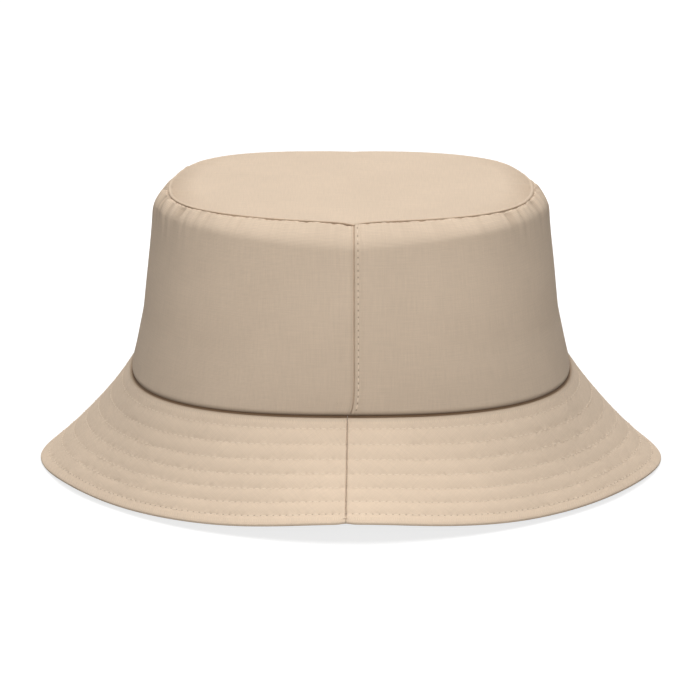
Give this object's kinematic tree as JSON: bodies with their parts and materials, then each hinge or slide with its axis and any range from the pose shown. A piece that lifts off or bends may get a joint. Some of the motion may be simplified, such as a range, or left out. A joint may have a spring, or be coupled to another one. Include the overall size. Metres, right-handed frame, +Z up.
{
  "type": "bucket hat",
  "caption": "Soft cotton bucket hat with a flat oval tip, upright crown and sloping brim quilted with rows of stitching.",
  "frame": {"origin": "under the middle of the hat, level with the lowest point of the brim", "axes": "+Z up, -Y the way the wearer faces, +X the wearer's left"},
  "size_m": [0.249, 0.292, 0.1341],
  "materials": {
    "cotton_canvas": "brushed plain weave",
    "interlining": "stiff non-woven",
    "thread": "spun polyester",
    "seam_tape": "woven tape",
    "sweatband": "cotton twill",
    "label": "satin ribbon"
  },
  "bodies": {
    "hat": {"crown_tip": "cotton_canvas", "sidewall_front": "cotton_canvas", "sidewall_back": "cotton_canvas", "brim_upper_front": "cotton_canvas", "brim_upper_back": "cotton_canvas", "brim_interlining_front": "interlining", "brim_interlining_back": "interlining", "brim_under_front": "cotton_canvas", "brim_under_back": "cotton_canvas", "brim_stitch_row_1": "thread", "brim_stitch_row_2": "thread", "brim_stitch_row_3": "thread", "brim_stitch_row_4": "thread", "brim_stitch_row_5": "thread", "brim_stitch_row_6": "thread", "brim_stitch_row_7": "thread", "foot_seam_tape": "seam_tape", "tip_seam_tape": "seam_tape", "side_seam_tape_left": "seam_tape", "side_seam_tape_right": "seam_tape", "tip_seam_stitch": "thread", "side_seam_stitch_left": "thread", "side_seam_stitch_right": "thread", "sweatband": "sweatband", "sweatband_stitch": "thread", "label_sewn_edge": "label"},
    "label": {"label_flap": "label"}
  },
  "joints": [
    {"name": "label_swing", "type": "hinge", "parent": "hat", "child": "label", "pos_m": [0, 0.09369, 0.06673], "axis": [-1, 0, 0], "range_deg": [-6, 120]}
  ]
}
